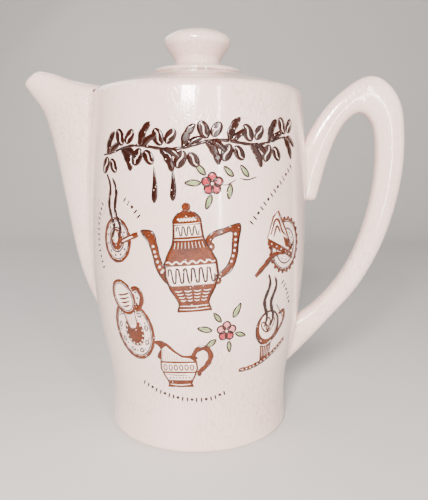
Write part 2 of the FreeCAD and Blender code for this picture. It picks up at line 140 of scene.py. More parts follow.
def colour(red, green, blue):
    """A linear colour from the everyday 0 to 255 values."""
    linear = []
    for value in (red, green, blue):
        share = value / 255
        linear.append(share / 12.92 if share <= 0.04045 else ((share + 0.055) / 1.055) ** 2.4)
    return (*linear, 1.0)


print("helpers ready")

# %% [markdown]
# ## Crackle, specks, stain and painted crease shade
#
# Old earthenware glaze shrinks less than the clay and cracks into a fine net, called crazing. On
# a turned pot the net is drawn out up and down, so the cells are tall. A Voronoi texture set to
# "distance to edge" gives exactly such a net; noise added to its coordinates stops the lines from
# being ruler straight, and a second noise makes the net fade in and out across the wall.

# %% Crazing group
def build_crazing():
    """Mask of thin crack lines: 1 on a crack, 0 on whole glaze."""
    tree, given, result = new_group("glaze_crazing", [
        ("Cells", "NodeSocketFloat", 430.0), ("Width", "NodeSocketFloat", 0.05),
        ("Stretch", "NodeSocketFloat", 0.4)], ["Crack", "Patch"])
    place = add_node(tree, "ShaderNodeTexCoord").outputs["Object"]
    scale = add_node(tree, "ShaderNodeCombineXYZ", None, {
        "X": 1.0, "Y": 1.0, "Z": given.outputs["Stretch"]}).outputs["Vector"]
    drawn = add_node(tree, "ShaderNodeVectorMath", {"operation": "MULTIPLY"}, {
        0: place, 1: scale}).outputs["Vector"]
    wander = add_node(tree, "ShaderNodeTexNoise", None, {
        "Vector": drawn, "Scale": 260.0, "Detail": 3.0})
    shift = add_node(tree, "ShaderNodeVectorMath", {"operation": "SCALE"}, {
        0: wander.outputs["Color"], "Scale": 0.0016}).outputs["Vector"]
    bent = add_node(tree, "ShaderNodeVectorMath", {"operation": "ADD"}, {
        0: drawn, 1: shift}).outputs["Vector"]
    net = add_node(tree, "ShaderNodeTexVoronoi", {"feature": "DISTANCE_TO_EDGE"}, {
        "Vector": bent, "Scale": given.outputs["Cells"]}).outputs["Distance"]
    line = add_node(tree, "ShaderNodeMapRange", {"clamp": True}, {
        "Value": net, "From Min": 0.0, "From Max": given.outputs["Width"],
        "To Min": 1.0, "To Max": 0.0}).outputs["Result"]
    cloud = add_node(tree, "ShaderNodeTexNoise", None, {
        "Vector": place, "Scale": 28.0, "Detail": 3.0}).outputs["Fac"]
    patch = ramp(tree, cloud, 0.38, 0.66)
    tree.links.new(maths(tree, "MULTIPLY", line, patch), result.inputs["Crack"])
    tree.links.new(patch, result.inputs["Patch"])
    return tree


crazing_group = build_crazing()
print("group", crazing_group.name)

# %% Iron specks group
def build_specks():
    """Mask of tiny iron specks: small dots in a few of a Voronoi texture's cells."""
    tree, given, result = new_group("iron_specks", [
        ("Cells", "NodeSocketFloat", 190.0), ("Size", "NodeSocketFloat", 0.07),
        ("Share", "NodeSocketFloat", 0.06)], ["Speck"])
    place = add_node(tree, "ShaderNodeTexCoord").outputs["Object"]
    dots = add_node(tree, "ShaderNodeTexVoronoi", {"feature": "F1"}, {
        "Vector": place, "Scale": given.outputs["Cells"]})
    dot = maths(tree, "LESS_THAN", dots.outputs["Distance"], given.outputs["Size"])
    pick = add_node(tree, "ShaderNodeSeparateColor", None, {"Color": dots.outputs["Color"]})
    chosen = maths(tree, "LESS_THAN", pick.outputs["Red"], given.outputs["Share"])
    tree.links.new(maths(tree, "MULTIPLY", dot, chosen), result.inputs["Speck"])
    return tree


specks_group = build_specks()
print("group", specks_group.name)

# %% Tea-brown stain group
def build_stain():
    """Mask of soft brown staining: cloudy, and stronger near a chosen point of the pot."""
    tree, given, result = new_group("age_stain", [
        ("Centre", "NodeSocketVector", (0.0, 0.0, 0.0)), ("Reach", "NodeSocketFloat", 0.02)],
        ["Stain"])
    place = add_node(tree, "ShaderNodeTexCoord").outputs["Object"]
    away = add_node(tree, "ShaderNodeVectorMath", {"operation": "DISTANCE"}, {
        0: place, 1: given.outputs["Centre"]}).outputs["Value"]
    near = add_node(tree, "ShaderNodeMapRange", {"clamp": True, "interpolation_type": "SMOOTHSTEP"}, {
        "Value": away, "From Min": 0.0, "From Max": given.outputs["Reach"],
        "To Min": 1.0, "To Max": 0.0}).outputs["Result"]
    cloud = add_node(tree, "ShaderNodeTexNoise", None, {
        "Vector": place, "Scale": 120.0, "Detail": 5.0, "Roughness": 0.65}).outputs["Fac"]
    tree.links.new(maths(tree, "MULTIPLY", near, ramp(tree, cloud, 0.3, 0.7)), result.inputs["Stain"])
    return tree


stain_group = build_stain()
print("group", stain_group.name)

# %% Painted crease shade group
def build_crease_shade():
    """Mask of painted shade: a brown line that darkens a turned crease, at a radius and height."""
    tree, given, result = new_group("painted_crease_shade", [
        ("Radius", "NodeSocketFloat", 0.05), ("Height", "NodeSocketFloat", 0.2),
        ("Reach", "NodeSocketFloat", 0.001)], ["Stain"])
    place = add_node(tree, "ShaderNodeTexCoord").outputs["Object"]
    parts = add_node(tree, "ShaderNodeSeparateXYZ", None, {"Vector": place}).outputs
    flat = add_node(tree, "ShaderNodeCombineXYZ", None, {"X": parts["X"], "Y": parts["Y"]})
    radius = add_node(tree, "ShaderNodeVectorMath", {"operation": "LENGTH"}, {
        0: flat.outputs["Vector"]}).outputs["Value"]
    across = maths(tree, "SUBTRACT", radius, given.outputs["Radius"])
    above = maths(tree, "SUBTRACT", parts["Z"], given.outputs["Height"])
    offset = add_node(tree, "ShaderNodeCombineXYZ", None, {"X": across, "Y": above})
    away = add_node(tree, "ShaderNodeVectorMath", {"operation": "LENGTH"}, {
        0: offset.outputs["Vector"]}).outputs["Value"]
    near = add_node(tree, "ShaderNodeMapRange", {"clamp": True, "interpolation_type": "SMOOTHSTEP"}, {
        "Value": away, "From Min": 0.0, "From Max": given.outputs["Reach"],
        "To Min": 1.0, "To Max": 0.0}).outputs["Result"]
    cloud = add_node(tree, "ShaderNodeTexNoise", None, {
        "Vector": place, "Scale": 60.0, "Detail": 4.0}).outputs["Fac"]
    tree.links.new(maths(tree, "MULTIPLY", near, ramp(tree, cloud, 0.25, 0.55)), result.inputs["Stain"])
    return tree


crease_shade_group = build_crease_shade()
print("group", crease_shade_group.name)

# %% [markdown]
# ## The glaze
#
# Glossy earthenware is a warm white clay under a clear, slightly pink glaze. In Blender that is
# one Principled shader: a base colour that wanders a little, a low roughness, and a clear coat on
# top for the sharp highlights that a glazed pot shows. The cracks are darker and sit a hair below
# the surface, so the crack mask feeds the colour and a Bump node as well.

# %% Build a glaze material
def use_group(tree, group, inputs):
    """Place one of the mask groups in a material."""
    node = tree.nodes.new("ShaderNodeGroup")
    node.node_tree = group
    for name, value in inputs.items():
        node.inputs[name].default_value = value
    return node


def build_glaze(name, light, deep, crack_colour, crack_share=0.4, stains=(), crease_shades=(), cells=430.0):
    """A glossy, crackled glaze.

    stains lists (centre, reach, strength) for brown patches, and the crease list gives
    (radius, height, reach, strength) for brown lines of painted shade in creases round the pot's axis.
    """
    material = bpy.data.materials.new(name)
    material.use_nodes = True
    tree = material.node_tree
    tree.nodes.clear()
    place = add_node(tree, "ShaderNodeTexCoord").outputs["Object"]
    cloud = add_node(tree, "ShaderNodeTexNoise", None, {
        "Vector": place, "Scale": 16.0, "Detail": 4.0, "Roughness": 0.55}).outputs["Fac"]
    tone = tint(tree, ramp(tree, cloud, 0.3, 0.7), light, deep)
    crazing = use_group(tree, crazing_group, {"Cells": cells, "Width": 0.08, "Stretch": 0.30})
    crack = maths(tree, "MULTIPLY", crazing.outputs["Crack"], crack_share)
    tone = tint(tree, crack, tone, crack_colour)
    specks = use_group(tree, specks_group, {"Cells": 204.0, "Size": 0.08, "Share": 0.045})
    speck = maths(tree, "MULTIPLY", specks.outputs["Speck"], 0.75)
    tone = tint(tree, speck, tone, colour(92, 62, 48))
    for centre, reach, strength in stains:
        stain = use_group(tree, stain_group, {"Centre": centre, "Reach": reach})
        share = maths(tree, "MULTIPLY", stain.outputs["Stain"], strength)
        tone = tint(tree, share, tone, colour(176, 138, 104))
    # Painted shade: brown lines darken the turned creases, where shade falls.
    for radius, at_height, reach, strength in crease_shades:
        ring = use_group(tree, crease_shade_group, {"Radius": radius, "Height": at_height, "Reach": reach})
        share = maths(tree, "MULTIPLY", ring.outputs["Stain"], strength)
        tone = tint(tree, share, tone, colour(150, 108, 78))
    fine = add_node(tree, "ShaderNodeTexNoise", None, {
        "Vector": place, "Scale": 90.0, "Detail": 3.0}).outputs["Fac"]
    sink = maths(tree, "MULTIPLY", crack, -1.4)
    height = maths(tree, "ADD", fine, sink)
    bump = add_node(tree, "ShaderNodeBump", None, {
        "Strength": 0.22, "Distance": 0.0006, "Height": height}).outputs["Normal"]
    roughness = add_node(tree, "ShaderNodeMapRange", {"clamp": True}, {
        "Value": fine, "From Min": 0.3, "From Max": 0.7, "To Min": 0.12, "To Max": 0.19})
    shader = add_node(tree, "ShaderNodeBsdfPrincipled", None, {
        "Base Color": tone, "Roughness": roughness.outputs["Result"], "IOR": 1.5,
        "Coat Weight": 0.6, "Coat Roughness": 0.06, "Subsurface Weight": 0.0, "Normal": bump})
    result = tree.nodes.new("ShaderNodeOutputMaterial")
    tree.links.new(shader.outputs["BSDF"], result.inputs["Surface"])
    return material


# %% Glazes of this pot
def dress(node, material):
    """Give a frame node's object one material."""
    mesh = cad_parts[node].data
    mesh.materials.clear()
    mesh.materials.append(material)


handle_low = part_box("handle")[0]
lid_low, lid_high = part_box("lid")
knob_low, knob_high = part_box("lid_knob")
LOWER_ROOT = (handle_low.x + 10 * MM, 0.0, handle_low.z + 14 * MM)
KNOB_TOP = (0.0, 0.0, POT_HEIGHT)
STAIN_REACH = 20 * MM
MOUTH_HEIGHT = pot_high.z
MOUTH_RADIUS = (lid_high.x - lid_low.x) / 2
STEP_RADIUS = MOUTH_RADIUS * 0.53
STEP_RISE = 6.2 * MM
KNOB_FOOT_RADIUS = (knob_high.x - knob_low.x) / 2 * 0.68
# Painted shade in the turned creases: the lid's seam in the mouth, the lid's edge and step, and the knob's
# foot.
mouth_seam_shade = (MOUTH_RADIUS + 1.6 * MM, MOUTH_HEIGHT - 0.2 * MM, 1.7 * MM, 0.9)
lid_edge_shade = (MOUTH_RADIUS - 2.0 * MM, MOUTH_HEIGHT, 3.4 * MM, 1.0)
lid_step_shade = (STEP_RADIUS, MOUTH_HEIGHT + STEP_RISE, 1.8 * MM, 1.0)
knob_foot_shade = (KNOB_FOOT_RADIUS, knob_low.z, 1.2 * MM, 0.8)
body_glaze = build_glaze(
    "body_glaze", colour(249, 222, 213), colour(241, 208, 197), colour(168, 122, 104),
    stains=((LOWER_ROOT, STAIN_REACH, 0.5),), crease_shades=(mouth_seam_shade,))
lid_glaze = build_glaze(
    "lid_glaze", colour(240, 216, 207), colour(228, 199, 188), colour(160, 114, 98),
    crease_shades=(lid_edge_shade, lid_step_shade, knob_foot_shade), cells=380.0)
knob_glaze = build_glaze(
    "knob_glaze", colour(246, 220, 211), colour(236, 206, 195), colour(160, 114, 98),
    stains=((KNOB_TOP, STAIN_REACH, 1.0),), cells=380.0)
for node in ("pot_body", "spout", "handle"):
    dress(node, body_glaze)
dress("lid", lid_glaze)
dress("lid_knob", knob_glaze)
print("glazed", body_glaze.name, lid_glaze.name, knob_glaze.name)

# %% [markdown]
# ## Prints on a curved wall
#
# The pictures are transfers: thin printed skins that were laid on the wall and fired. Each is
# drawn flat first, in millimetres along and up the wall, like the sheet that the printer made.
# Then every point is dropped on to the wall by a ray from outside, so the print follows the
# barrel's swell exactly. Every mark is a closed skin, a few hundredths of a millimetre to two
# tenths thick, so it takes its own material and shows no gap at its edge.

# %% Drop a flat point on to the barrel's wall
wall_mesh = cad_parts["pot_body"].data
wall = BVHTree.FromPolygons(
    [vertex.co for vertex in wall_mesh.vertices], [face.vertices for face in wall_mesh.polygons])


def on_wall(along, up, lift):
    """The place on the wall that is along and up (in mm), lifted off it by lift (in mm)."""
    turn = along * MM / BELLY_RADIUS
    out = Vector((math.sin(turn), -math.cos(turn), 0.0))
    start = out * (BELLY_RADIUS * 1.5) + Vector((0.0, 0.0, up * MM))
    hit = wall.ray_cast(start, -out)[0]
    return hit + out * (lift * MM)


print("belly front", [round(value, 4) for value in on_wall(0, 118, 0)])

# %% Smooth curves through a few points
def curve_through(points, closed=False, step=0.7):
    """Catmull-Rom curve through flat points, sampled about every step mm."""
    points = [Vector(point) for point in points]
    count = len(points)
    spans = count if closed else count - 1
    path = []
    for index in range(spans):
        if closed:
            a, b, c, d = (points[(index + shift) % count] for shift in (-1, 0, 1, 2))
        else:
            b, c = points[index], points[index + 1]
            a = points[index - 1] if index > 0 else b * 2 - c
            d = points[index + 2] if index + 2 < count else c * 2 - b
        steps = max(2, int((c - b).length / step))
        for number in range(steps):
            t = number / steps
            path.append(0.5 * (2 * b + (c - a) * t + (2 * a - 5 * b + 4 * c - d) * t * t
                               + (3 * b - a - 3 * c + d) * t * t * t))
    if not closed:
        path.append(points[-1])
    return path


def oval(centre, across, tall, lean=0.0, count=28):
    """Points round an oval, leaning anticlockwise by lean degrees."""
    turn = math.radians(lean)
    points = []
    for number in range(count):
        angle = 2 * math.pi * number / count
        x = across * math.cos(angle)
        y = tall * math.sin(angle)
        points.append(Vector((centre[0] + x * math.cos(turn) - y * math.sin(turn),
                              centre[1] + x * math.sin(turn) + y * math.cos(turn))))
    return points


print("curve points", len(curve_through([(0, 0), (5, 3), (10, 0)])))

# %% [markdown]
# A picture is made of two kinds of mark. A *stroke* follows a path with a width that swells and
# tapers like a brush line. A *fill* covers a closed outline. Marks lie in layers, as in real
# overprinting: a stroke lies one layer above the fills, and all that is drawn after `over()` lies
# one layer higher again. So a cream panel covers the brown, and a dark line covers the panel.

# %% One printed picture
INKS = {}
INK_ORDER = ("brown", "dark", "cream", "leaf", "petal", "blush")
SKIN_BOTTOM = 0.015
FIRST_LIFT = 0.05
LIFT_STEP = 0.035
TOP_LAYER = 5
WIDEST_EDGE = 2.0
WELD = 0.01


class Picture:
    """Marks of one transfer, drawn flat about a centre on the wall."""

    def __init__(self, name, centre, lean=0.0, size=1.0):
        self.name = name
        self.centre = Vector(centre)
        self.turn = Matrix.Rotation(math.radians(lean), 2)
        self.size = size
        self.marks = []
        self.layer = 0
        self.chance = random.Random(name)

    def place(self, point):
        """Where a point of the drawing lies on the wall's flat sheet."""
        return self.centre + self.turn @ (Vector(point) * self.size)

    def over(self, layers=1):
        """What is drawn next lies higher; strokes and dots lie one layer above fills."""
        self.layer += layers

    def fill(self, outline, ink="brown", smooth=True, above=0):
        """Cover a closed outline."""
        points = curve_through(outline, closed=True, step=0.9) if smooth else outline
        flat = [self.place(point) for point in points]
        corners = [Vector((point.x, point.y, 0.0)) for point in flat]
        triangles = [tuple(triangle) for triangle in tessellate_polygon([corners])]
        self.marks.append((self.layer + above, ink, flat, triangles))

    def stroke(self, path, width=0.7, ink="dark", ends=0.35, closed=False, smooth=True, above=1):
        """Draw along a path; ends is the share of the width left at its two ends."""
        points = curve_through(path, closed) if smooth else [Vector(point) for point in path]
        count = len(points)
        flat = []
        faces = []
        wander = self.chance.uniform(0, 6)
        for index, point in enumerate(points):
            before = points[(index - 1) % count] if closed or index else points[0]
            after = points[(index + 1) % count] if closed or index + 1 < count else points[-1]
            way = (after - before).normalized()
            side = Vector((-way.y, way.x))
            share = index / max(1, count - 1)
            swell = 1.0 if closed else ends + (1 - ends) * math.sin(math.pi * share) ** 0.45
            half = width / 2 * swell * (1 + 0.10 * math.sin(wander + index * 0.9))
            flat += [self.place(point + side * half), self.place(point - side * half)]
            if index:
                faces.append((2 * index - 2, 2 * index - 1, 2 * index + 1, 2 * index))
        if closed:
            faces.append((2 * count - 2, 2 * count - 1, 1, 0))
        self.marks.append((self.layer + above, ink, flat, faces))

    def dot(self, at, radius, ink="dark", above=1):
        """A round spot."""
        self.fill(oval(at, radius, radius, 0, 10), ink, smooth=False, above=above)

    def build(self):
        """Make the picture's closed skins on the wall as one mesh object."""
        mesh = bpy.data.meshes.new(self.name)
        whole = bmesh.new()
        for layer, ink, flat, faces in self.marks:
            add_skin(whole, flat, faces, FIRST_LIFT + LIFT_STEP * layer, INK_ORDER.index(ink))
        bmesh.ops.recalc_face_normals(whole, faces=whole.faces)
        whole.to_mesh(mesh)
        whole.free()
        for ink in INK_ORDER:
            mesh.materials.append(INKS[ink])
        piece = bpy.data.objects.new(self.name, mesh)
        bpy.context.collection.objects.link(piece)
        return piece


def add_skin(whole, flat, faces, lift, material_index):
    """Add one flat mark as a thin closed skin that follows the wall."""
    sheet = bmesh.new()
    corners = [sheet.verts.new((point.x, point.y, 0.0)) for point in flat]
    for face in faces:
        try:
            sheet.faces.new([corners[index] for index in face])
        except ValueError:
            continue
    bmesh.ops.remove_doubles(sheet, verts=sheet.verts, dist=WELD)
    for _ in range(4):
        long_edges = [edge for edge in sheet.edges if edge.calc_length() > WIDEST_EDGE]
        if not long_edges:
            break
        bmesh.ops.subdivide_edges(sheet, edges=long_edges, cuts=1)
        wide = [face for face in sheet.faces if len(face.verts) > 4]
        bmesh.ops.triangulate(sheet, faces=wide)
    sheet.verts.index_update()
    tops = []
    bottoms = []
    for vertex in sheet.verts:
        tops.append(whole.verts.new(on_wall(vertex.co.x, vertex.co.y, lift)))
        bottoms.append(whole.verts.new(on_wall(vertex.co.x, vertex.co.y, SKIN_BOTTOM)))
    made = []
    for face in sheet.faces:
        order = [vertex.index for vertex in face.verts]
        made.append([tops[index] for index in order])
        made.append([bottoms[index] for index in reversed(order)])
    for edge in sheet.edges:
        if len(edge.link_faces) == 1:
            first, second = (vertex.index for vertex in edge.verts)
            made.append([tops[first], bottoms[first], bottoms[second], tops[second]])
    for corner_list in made:
        try:
            face = whole.faces.new(corner_list)
        except ValueError:
            continue
        face.material_index = material_index
        face.smooth = True
    sheet.free()


print("marks sit between", SKIN_BOTTOM, "and", FIRST_LIFT + TOP_LAYER * LIFT_STEP, "mm off the wall")

# %% [markdown]
# ## Inks
#
# A ceramic ink is a metal oxide that melts into the glaze, so it is as glossy as the wall. It never
# prints quite evenly: the browns are full of paler grains where the oxide thinned out. The ink
# material mixes two browns with fine noise and lets a few specks of bare glaze through.

# %% Ink materials
def build_ink(name, main, pale, grain=0.5, bare=0.0):
    """A fired ink: main colour, paler grains, and a share of bare glaze specks."""
    material = bpy.data.materials.new(name)
    material.use_nodes = True
    tree = material.node_tree
    tree.nodes.clear()
    place = add_node(tree, "ShaderNodeTexCoord").outputs["Object"]
    fine = add_node(tree, "ShaderNodeTexNoise", None, {
        "Vector": place, "Scale": 1500.0, "Detail": 4.0, "Roughness": 0.7}).outputs["Fac"]
    broad = add_node(tree, "ShaderNodeTexNoise", None, {
        "Vector": place, "Scale": 160.0, "Detail": 3.0}).outputs["Fac"]
    mix = maths(tree, "ADD", maths(tree, "MULTIPLY", fine, 0.7), maths(tree, "MULTIPLY", broad, 0.3))
    grains = maths(tree, "MULTIPLY", ramp(tree, mix, 0.44, 0.60), grain)
    tone = tint(tree, grains, main, pale)
    spots = add_node(tree, "ShaderNodeTexVoronoi", {"feature": "F1"}, {
        "Vector": place, "Scale": 900.0})
    spot = maths(tree, "LESS_THAN", spots.outputs["Distance"], 0.30)
    pick = add_node(tree, "ShaderNodeSeparateColor", None, {"Color": spots.outputs["Color"]})
    chosen = maths(tree, "LESS_THAN", pick.outputs["Green"], bare)
    tone = tint(tree, maths(tree, "MULTIPLY", spot, chosen), tone, colour(233, 214, 200))
    bump = add_node(tree, "ShaderNodeBump", None, {
        "Strength": 0.05, "Distance": 0.0003, "Height": fine}).outputs["Normal"]
    shader = add_node(tree, "ShaderNodeBsdfPrincipled", None, {
        "Base Color": tone, "Roughness": 0.2, "Coat Weight": 0.3, "Coat Roughness": 0.05,
        "Normal": bump})
    result = tree.nodes.new("ShaderNodeOutputMaterial")
    tree.links.new(shader.outputs["BSDF"], result.inputs["Surface"])
    return material


INKS["brown"] = build_ink("ink_brown", colour(74, 24, 2), colour(124, 54, 10), 0.75, 0.05)
INKS["dark"] = build_ink("ink_dark", colour(34, 8, 1), colour(70, 22, 5), 0.55, 0.06)
INKS["cream"] = build_ink("ink_cream", colour(250, 220, 206), colour(249, 222, 213), 0.7)
INKS["leaf"] = build_ink("ink_leaf", colour(150, 166, 112), colour(186, 192, 148), 0.6)
INKS["petal"] = build_ink("ink_petal", colour(168, 36, 52), colour(200, 84, 90), 0.6)
INKS["blush"] = build_ink("ink_blush", colour(216, 118, 124), colour(232, 160, 156), 0.6)
print("inks", sorted(INKS))

# %% [markdown]
# ## The tall coffee pot in the middle
#
# The big picture is a pot with a domed cap, a collar, a round belly and a flared foot. Its half
# width at each height is one short profile, and every band, panel and row of strokes reads that
# profile, so all of them stay inside the outline when it is changed.

# %% Profile helper
def half_width_at(profile, height):
    """Half width of a silhouette at a height, from (height, half width) pairs."""
    for (low, narrow), (high, wide) in zip(profile, profile[1:]):
        if low <= height <= high:
            return narrow + (wide - narrow) * (height - low) / (high - low)
    return profile[-1][1]


def band(profile, low, high, inset=0.0, rows=5):
    """The outline of a silhouette between two heights."""
    heights = [low + (high - low) * row / (rows - 1) for row in range(rows)]
    right = [(half_width_at(profile, height) - inset, height) for height in heights]
    return right + [(-across, height) for across, height in reversed(right)]


def wave(left, right, middle, swing, waves, count=12, blunt=0.6):
    """Points of a meandering line; a blunt one has steep sides and square turns."""
    total = int(waves * count)
    points = []
    for number in range(total + 1):
        rise = math.tanh(blunt * math.sin(2 * math.pi * waves * number / total)) / math.tanh(blunt)
        points.append((left + (right - left) * number / total, middle + swing * rise))
    return points


def spots_along(picture, path, radius, gap, ink):
    """Dots spaced along a path."""
    points = curve_through(path, step=0.4)
    travelled = 0.0
    for before, after in zip(points, points[1:]):
        travelled += (after - before).length
        if travelled >= gap:
            travelled = 0.0
            picture.dot(after, radius, ink)


print("profile helpers ready")

# %% Draw the coffee pot picture
POT_PROFILE = ((-28.5, 9.4), (-26.0, 8.6), (-23.5, 7.9), (-20.0, 9.6), (-16.0, 12.0), (-9.0, 14.2),
               (-2.0, 13.8), (3.0, 11.6), (7.0, 9.0), (11.0, 7.9), (18.0, 7.3), (18.8, 7.7),
               (21.5, 6.6), (24.0, 3.8), (25.2, 1.6))
pot_picture = Picture("print_pot", (-2.6, 113.4), lean=4.5)
SPOUT_OUTLINE = [(-9.6, -15.0), (-14.6, -11.4), (-18.4, -4.6), (-19.8, 3.0), (-21.6, 9.4), (-25.6, 15.6),
                 (-18.6, 15.0), (-16.8, 8.6), (-15.8, 2.0), (-14.2, -2.4), (-10.6, -4.6)]
pot_picture.fill(SPOUT_OUTLINE, "brown")
pot_picture.stroke(SPOUT_OUTLINE, 0.7, "dark")
HANDLE_OUTLINE = [(8.0, 6.0), (9.6, 10.6), (13.4, 13.0), (19.0, 14.2), (27.6, 15.4), (26.0, 6.0),
                  (24.4, -2.0), (20.6, -8.6), (13.0, -12.0), (13.2, -9.6), (18.6, -5.6), (21.6, 0.0),
                  (22.4, 6.0), (22.8, 11.8), (17.4, 11.0), (13.0, 9.6), (10.6, 6.0)]
pot_picture.fill(HANDLE_OUTLINE, "brown")
pot_picture.stroke(HANDLE_OUTLINE, 0.7, "dark")
pot_picture.fill(band(POT_PROFILE, -28.5, 25.2, rows=26), "brown", smooth=False)
pot_picture.fill(oval((0.2, 26.6), 2.3, 2.3), "brown")
pot_picture.stroke(oval((11.2, 5.4), 1.3, 1.5), 1.6, "brown", closed=True)
pot_picture.stroke(oval((13.4, -12.6), 1.3, 1.4), 1.6, "brown", closed=True)
pot_picture.over()
pot_picture.fill(band(POT_PROFILE, -14.0, -3.6, inset=1.0), "cream", smooth=False)
pot_picture.fill(band(POT_PROFILE, 11.4, 17.4, inset=0.9), "cream", smooth=False)
pot_picture.stroke(wave(-12.2, 12.2, -8.8, 3.7, 6, blunt=2.2), 0.95, "dark", ends=0.8)
pot_picture.stroke(wave(-5.8, 5.8, 14.4, 2.2, 4, blunt=2.0), 0.75, "dark", ends=0.8)
for height, share in ((-1.8, 1.0), (20.2, 0.8)):
    reach = half_width_at(POT_PROFILE, height) * share
    pot_picture.stroke(wave(-reach + 1, reach - 1, height, 0.6, 6), 0.8, "cream", ends=0.8)
for number in range(9):
    across = -7.2 + 1.8 * number
    pot_picture.stroke([(across * 0.96, 8.6), (across * 1.08, 5.4)], 0.8, "cream", smooth=False)
for row in range(4):
    height = -16.8 - 1.7 * row
    reach = half_width_at(POT_PROFILE, height) - 1.4
    for number in range(4):
        middle = reach * (-0.75 + 0.5 * number)
        half = reach * 0.19
        pot_picture.stroke([(middle - half, height), (middle, height - 0.45), (middle + half, height)],
                           0.55, "cream", ends=0.5)
for height in (-25.0, -26.8, 10.2, 18.2):
    reach = half_width_at(POT_PROFILE, height)
    pot_picture.stroke([(-reach + 0.6, height), (0, height - 0.3), (reach - 0.6, height)], 0.5, "cream")
spots_along(pot_picture, [(-14.6, -9.0), (-17.6, 0.0), (-19.4, 9.0)], 0.75, 2.5, "cream")
spots_along(pot_picture, [(-13.2, -7.0), (-15.0, -5.0)], 0.7, 2.0, "cream")
spots_along(pot_picture, [(24.8, 13.4), (24.0, 4.0), (21.0, -4.6)], 0.7, 2.8, "cream")
right_edge = [(half_width_at(POT_PROFILE, -28 + 2 * step), -28 + 2 * step) for step in range(27)]
pot_picture.stroke(right_edge, 0.7, "dark", ends=0.8)
pot_picture.stroke([(-across, height) for across, height in right_edge], 0.7, "dark", ends=0.8)
print("marks", len(pot_picture.marks))

# %% [markdown]
# ## Cups, plates and the cream jug
#
# The small pictures use the same few marks: rings for rims, rows of dots, wavy steam. Each one is
# a short list of strokes about its own middle, so it can be moved or leant as a whole.

# %% Steam, and the cup seen from above
def steam(picture, foot, tall, lean=0.0):
    """Two wavering lines that rise side by side."""
    x, y = foot
    for shift, share, swing in ((-2.4, 1.0, 1.5), (2.6, 0.94, 1.5)):
        path = [(x + shift + lean * part * part + swing * math.sin(part * 9.5), y + tall * share * part)
                for part in (0.0, 0.13, 0.25, 0.37, 0.5, 0.63, 0.75, 0.87, 1.0)]
        picture.stroke(path, 2.3, "dark", ends=0.3)


cup_above = Picture("print_cup", (-46.5, 121.0), lean=0.0)
cup_above.stroke(oval((0, 0), 10.0, 11.6), 1.7, "brown", closed=True)
cup_above.stroke(oval((0, 0), 8.8, 10.2), 0.5, "dark", closed=True)
cup_above.stroke(oval((0, 0.2), 5.6, 6.6), 0.8, "dark", closed=True)
cup_above.fill(oval((0, 0.2), 4.9, 5.8), "brown")
cup_above.over()
cup_above.fill(oval((-1.0, 1.6), 2.2, 3.4), "cream")
for point in oval((0, 0), 7.2, 8.4, count=11):
    cup_above.dot(point, 0.65)
cup_above.stroke([(3.0, -1.0), (9.0, 1.6), (15.4, 4.2)], 3.0, "brown", ends=0.9)
cup_above.over()
cup_above.stroke([(4.5, -0.4), (9.0, 1.6), (12.0, 2.8)], 0.9, "cream", ends=0.6)
steam(cup_above, (-0.6, 1.0), 34.0, lean=-4.6)
print("marks", len(cup_above.marks))

# %% Plate of cake with a fork
cake = Picture("print_cake", (54.4, 117.4), lean=0.0, size=1.12)
for point in oval((1.0, 0), 11.6, 13.2, count=22):
    cake.dot(point, 1.15, "brown")
cake.stroke(oval((1.0, 0), 11.0, 12.6), 1.2, "brown", closed=True)
cake.stroke(oval((1.0, 0), 10.0, 11.6), 0.5, "dark", closed=True)
cake.stroke(oval((1.0, -0.4), 7.4, 8.6), 0.7, "dark", closed=True)
for point in oval((1.0, -0.4), 6.0, 7.0, count=12):
    cake.dot(point, 0.4)
cake.over(2)
cake.fill([(-11.6, 4.2), (-8.0, 14.6), (-5.6, 16.4), (7.6, -4.8), (7.2, -7.0), (-1.0, -4.6)],
          "cream", smooth=False)
cake.over()
cake.fill([(-12.2, 4.6), (-12.4, 1.2), (7.0, -7.6), (7.4, -4.6)], "brown", smooth=False)
cake.stroke([(-12.4, 4.6), (-8.8, 14.2), (-5.4, 17.0), (8.2, -4.6)], 1.2, "brown", smooth=False)
cake.stroke([(-10.4, 5.8), (-7.6, 12.6), (-5.0, 12.4), (-2.4, 7.4), (0.6, 4.8)], 1.3, "brown")
cake.stroke([(-8.4, 4.8), (-6.2, 9.8), (-3.6, 6.4)], 1.2, "brown")
cake.fill([(-1.6, 4.6), (3.2, 2.6), (5.6, -2.4), (0.4, -0.6)], "brown", smooth=False)
for number in range(5):
    cake.dot((-9.6 + 3.4 * number, 1.5 - 1.55 * number), 0.4, "cream")
cake.stroke([(-19.0, -13.4), (-15.0, -9.8), (-9.0, -4.6), (-4.0, -3.4)], 2.7, "brown", ends=0.6)
cake.stroke([(-5.0, -3.6), (-1.0, -3.8), (3.0, -3.2), (6.6, -0.6)], 1.5, "brown", ends=0.6)
for shift in (-0.9, 0.0, 0.9):
    cake.stroke([(5.0, -2.2 + shift), (8.4, 1.2 + shift)], 0.45, "dark", smooth=False, above=2)
print("marks", len(cake.marks))

# %% Cup standing on a leafy saucer
saucer = Picture("print_saucer", (-38.4, 71.5), lean=14.0)
saucer.stroke(oval((0, 0), 13.4, 16.4), 1.9, "brown", closed=True)
saucer.stroke(oval((0, 0), 11.9, 14.9), 0.6, "dark", closed=True)
for point in oval((0, 0), 9.6, 12.3, count=9):
    way = point.normalized()
    side = Vector((-way.y, way.x))
    saucer.stroke([point - side * 1.9, point + way * 1.0, point + side * 1.9], 0.75, "dark")
    saucer.stroke([point - side * 1.9, point - way * 1.0, point + side * 1.9], 0.75, "dark")
    saucer.dot(point + side * 3.0, 0.5)
saucer.fill(oval((0.4, -1.0), 6.9, 8.3), "brown")
for point in oval((0.4, -1.0), 6.0, 7.3, count=15):
    saucer.dot(point, 0.6, "cream")
saucer.over(2)
saucer.fill([(-3.6, 12.0), (-3.0, 5.6), (-1.2, 1.0), (2.8, 1.0), (4.4, 5.6), (4.4, 12.0)],
            "cream", smooth=False)
for number in range(6):
    across = -2.6 + 1.2 * number
    saucer.stroke([(across, 10.6), (across * 0.75 + 0.3, 3.0)], 0.5, "brown", smooth=False)
